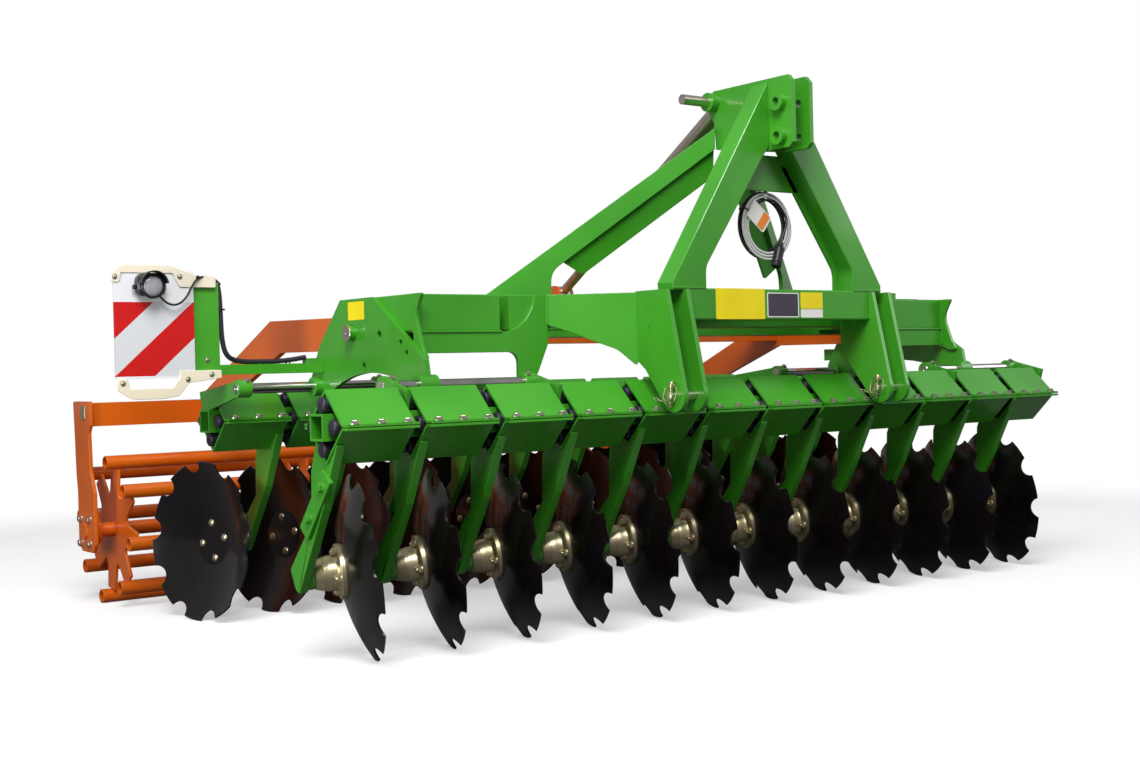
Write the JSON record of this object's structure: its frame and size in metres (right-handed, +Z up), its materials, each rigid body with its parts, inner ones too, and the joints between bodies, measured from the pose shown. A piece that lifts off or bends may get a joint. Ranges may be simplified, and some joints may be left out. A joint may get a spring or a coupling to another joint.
{
  "type": "disc harrow",
  "caption": "Mounted compact disc harrow: two rows of notched discs on rubber-sprung arms, three-point hitch mast, depth strut and cage roller.",
  "frame": {"origin": "middle of the footprint, on the ground that the discs and the roller stand on", "axes": "+X to the right seen from the tractor, +Y back from the tractor, +Z up"},
  "size_m": [3.492, 2.1987, 1.655],
  "materials": {
    "green_enamel": "gloss",
    "orange_enamel": "gloss",
    "disc_steel": "polished",
    "rubber": "matte",
    "bright_steel": "satin",
    "zinc_steel": "satin",
    "board_white": "satin",
    "lamp_plastic": "gloss"
  },
  "bodies": {
    "frame": {"board_carriers": "green_enamel", "board_lamp": "lamp_plastic", "frame_front_plates": "green_enamel", "frame_front_tube": "green_enamel", "frame_rear_tube": "green_enamel", "frame_short_tubes": "green_enamel", "frame_side_plates": "green_enamel", "hitch_pins": "zinc_steel", "hitch_plates": "green_enamel", "mast_braces": "green_enamel", "mast_cheeks": "green_enamel", "mast_frame": "green_enamel", "warning_board": "board_white"},
    "front_row": {"front_beam": "green_enamel", "front_clamp_tops": "green_enamel", "front_disc_arms": "green_enamel", "front_rod_brackets": "green_enamel", "front_rubber_cords": "rubber", "front_slide_rods": "bright_steel"},
    "rear_row": {"rear_beam": "green_enamel", "rear_clamp_tops": "green_enamel", "rear_disc_arms": "green_enamel", "rear_rod_brackets": "green_enamel", "rear_rubber_cords": "rubber", "rear_slide_rods": "bright_steel"},
    "roller_frame": {"roller_arms": "orange_enamel", "roller_end_plates": "orange_enamel", "roller_middle_bar": "orange_enamel", "roller_rear_bar": "orange_enamel"},
    "roller": {"cage_roller": "orange_enamel"},
    "strut_tube": {"strut_tube": "zinc_steel"},
    "strut_rod": {"strut_rod": "zinc_steel"},
    "front_disc_01": {"front_disc_01": "disc_steel"},
    "front_disc_02": {"front_disc_02": "disc_steel"},
    "front_disc_03": {"front_disc_03": "disc_steel"},
    "front_disc_04": {"front_disc_04": "disc_steel"},
    "front_disc_05": {"front_disc_05": "disc_steel"},
    "front_disc_06": {"front_disc_06": "disc_steel"},
    "front_disc_07": {"front_disc_07": "disc_steel"},
    "front_disc_08": {"front_disc_08": "disc_steel"},
    "front_disc_09": {"front_disc_09": "disc_steel"},
    "front_disc_10": {"front_disc_10": "disc_steel"},
    "front_disc_11": {"front_disc_11": "disc_steel"},
    "front_disc_12": {"front_disc_12": "disc_steel"},
    "rear_disc_01": {"rear_disc_01": "disc_steel"},
    "rear_disc_02": {"rear_disc_02": "disc_steel"},
    "rear_disc_03": {"rear_disc_03": "disc_steel"},
    "rear_disc_04": {"rear_disc_04": "disc_steel"},
    "rear_disc_05": {"rear_disc_05": "disc_steel"},
    "rear_disc_06": {"rear_disc_06": "disc_steel"},
    "rear_disc_07": {"rear_disc_07": "disc_steel"},
    "rear_disc_08": {"rear_disc_08": "disc_steel"},
    "rear_disc_09": {"rear_disc_09": "disc_steel"},
    "rear_disc_10": {"rear_disc_10": "disc_steel"},
    "rear_disc_11": {"rear_disc_11": "disc_steel"},
    "rear_disc_12": {"rear_disc_12": "disc_steel"}
  },
  "joints": [
    {"name": "front_row_slide", "type": "slide", "parent": "frame", "child": "front_row", "axis": [1, 0, 0], "range_m": [-0.035, 0.035]},
    {"name": "front_disc_01_spin", "type": "hinge", "parent": "front_row", "child": "front_disc_01", "pos_m": [-1.358, -0.70535, 0.24764], "axis": [0.9403, -0.3238, 0.1045], "continuous": true},
    {"name": "front_disc_02_spin", "type": "hinge", "parent": "front_row", "child": "front_disc_02", "pos_m": [-1.108, -0.70535, 0.24764], "axis": [0.9403, -0.3238, 0.1045], "continuous": true},
    {"name": "front_disc_03_spin", "type": "hinge", "parent": "front_row", "child": "front_disc_03", "pos_m": [-0.858, -0.70535, 0.24764], "axis": [0.9403, -0.3238, 0.1045], "continuous": true},
    {"name": "front_disc_04_spin", "type": "hinge", "parent": "front_row", "child": "front_disc_04", "pos_m": [-0.608, -0.70535, 0.24764], "axis": [0.9403, -0.3238, 0.1045], "continuous": true},
    {"name": "front_disc_05_spin", "type": "hinge", "parent": "front_row", "child": "front_disc_05", "pos_m": [-0.358, -0.70535, 0.24764], "axis": [0.9403, -0.3238, 0.1045], "continuous": true},
    {"name": "front_disc_06_spin", "type": "hinge", "parent": "front_row", "child": "front_disc_06", "pos_m": [-0.108, -0.70535, 0.24764], "axis": [0.9403, -0.3238, 0.1045], "continuous": true},
    {"name": "front_disc_07_spin", "type": "hinge", "parent": "front_row", "child": "front_disc_07", "pos_m": [0.142, -0.70535, 0.24764], "axis": [0.9403, -0.3238, 0.1045], "continuous": true},
    {"name": "front_disc_08_spin", "type": "hinge", "parent": "front_row", "child": "front_disc_08", "pos_m": [0.392, -0.70535, 0.24764], "axis": [0.9403, -0.3238, 0.1045], "continuous": true},
    {"name": "front_disc_09_spin", "type": "hinge", "parent": "front_row", "child": "front_disc_09", "pos_m": [0.642, -0.70535, 0.24764], "axis": [0.9403, -0.3238, 0.1045], "continuous": true},
    {"name": "front_disc_10_spin", "type": "hinge", "parent": "front_row", "child": "front_disc_10", "pos_m": [0.892, -0.70535, 0.24764], "axis": [0.9403, -0.3238, 0.1045], "continuous": true},
    {"name": "front_disc_11_spin", "type": "hinge", "parent": "front_row", "child": "front_disc_11", "pos_m": [1.142, -0.70535, 0.24764], "axis": [0.9403, -0.3238, 0.1045], "continuous": true},
    {"name": "front_disc_12_spin", "type": "hinge", "parent": "front_row", "child": "front_disc_12", "pos_m": [1.392, -0.70535, 0.24764], "axis": [0.9403, -0.3238, 0.1045], "continuous": true},
    {"name": "rear_row_slide", "type": "slide", "parent": "frame", "child": "rear_row", "axis": [1, 0, 0], "range_m": [-0.035, 0.035]},
    {"name": "rear_disc_01_spin", "type": "hinge", "parent": "rear_row", "child": "rear_disc_01", "pos_m": [-1.286, 0.27165, 0.25104], "axis": [-0.9726, -0.2245, 0.061], "continuous": true},
    {"name": "rear_disc_02_spin", "type": "hinge", "parent": "rear_row", "child": "rear_disc_02", "pos_m": [-1.036, 0.27165, 0.25104], "axis": [-0.9726, -0.2245, 0.061], "continuous": true},
    {"name": "rear_disc_03_spin", "type": "hinge", "parent": "rear_row", "child": "rear_disc_03", "pos_m": [-0.786, 0.27165, 0.25104], "axis": [-0.9726, -0.2245, 0.061], "continuous": true},
    {"name": "rear_disc_04_spin", "type": "hinge", "parent": "rear_row", "child": "rear_disc_04", "pos_m": [-0.536, 0.27165, 0.25104], "axis": [-0.9726, -0.2245, 0.061], "continuous": true},
    {"name": "rear_disc_05_spin", "type": "hinge", "parent": "rear_row", "child": "rear_disc_05", "pos_m": [-0.286, 0.27165, 0.25104], "axis": [-0.9726, -0.2245, 0.061], "continuous": true},
    {"name": "rear_disc_06_spin", "type": "hinge", "parent": "rear_row", "child": "rear_disc_06", "pos_m": [-0.036, 0.27165, 0.25104], "axis": [-0.9726, -0.2245, 0.061], "continuous": true},
    {"name": "rear_disc_07_spin", "type": "hinge", "parent": "rear_row", "child": "rear_disc_07", "pos_m": [0.214, 0.27165, 0.25104], "axis": [-0.9726, -0.2245, 0.061], "continuous": true},
    {"name": "rear_disc_08_spin", "type": "hinge", "parent": "rear_row", "child": "rear_disc_08", "pos_m": [0.464, 0.27165, 0.25104], "axis": [-0.9726, -0.2245, 0.061], "continuous": true},
    {"name": "rear_disc_09_spin", "type": "hinge", "parent": "rear_row", "child": "rear_disc_09", "pos_m": [0.714, 0.27165, 0.25104], "axis": [-0.9726, -0.2245, 0.061], "continuous": true},
    {"name": "rear_disc_10_spin", "type": "hinge", "parent": "rear_row", "child": "rear_disc_10", "pos_m": [0.964, 0.27165, 0.25104], "axis": [-0.9726, -0.2245, 0.061], "continuous": true},
    {"name": "rear_disc_11_spin", "type": "hinge", "parent": "rear_row", "child": "rear_disc_11", "pos_m": [1.214, 0.27165, 0.25104], "axis": [-0.9726, -0.2245, 0.061], "continuous": true},
    {"name": "rear_disc_12_spin", "type": "hinge", "parent": "rear_row", "child": "rear_disc_12", "pos_m": [1.464, 0.27165, 0.25104], "axis": [-0.9726, -0.2245, 0.061], "continuous": true},
    {"name": "roller_frame_lift", "type": "hinge", "parent": "frame", "child": "roller_frame", "pos_m": [0.046, -0.37335, 0.898], "axis": [1, 0, 0], "range_deg": [0, 7]},
    {"name": "roller_spin", "type": "hinge", "parent": "roller_frame", "child": "roller", "pos_m": [0.046, 0.84165, 0.2582], "axis": [1, 0, 0], "continuous": true},
    {"name": "strut_swing", "type": "hinge", "parent": "frame", "child": "strut_tube", "pos_m": [0.046, -0.75235, 1.618], "axis": [1, 0, 0], "range_deg": [0, 2.31]},
    {"name": "strut_slide", "type": "slide", "parent": "strut_tube", "child": "strut_rod", "axis": [0, 0.8457, -0.5336], "range_m": [-0.05191, 0]}
  ],
  "couplings": [
    {"joint": "strut_swing", "follows": "roller_frame_lift", "ratio": 0.32727},
    {"joint": "strut_slide", "follows": "roller_frame_lift", "m_per_rad": -0.42076}
  ]
}
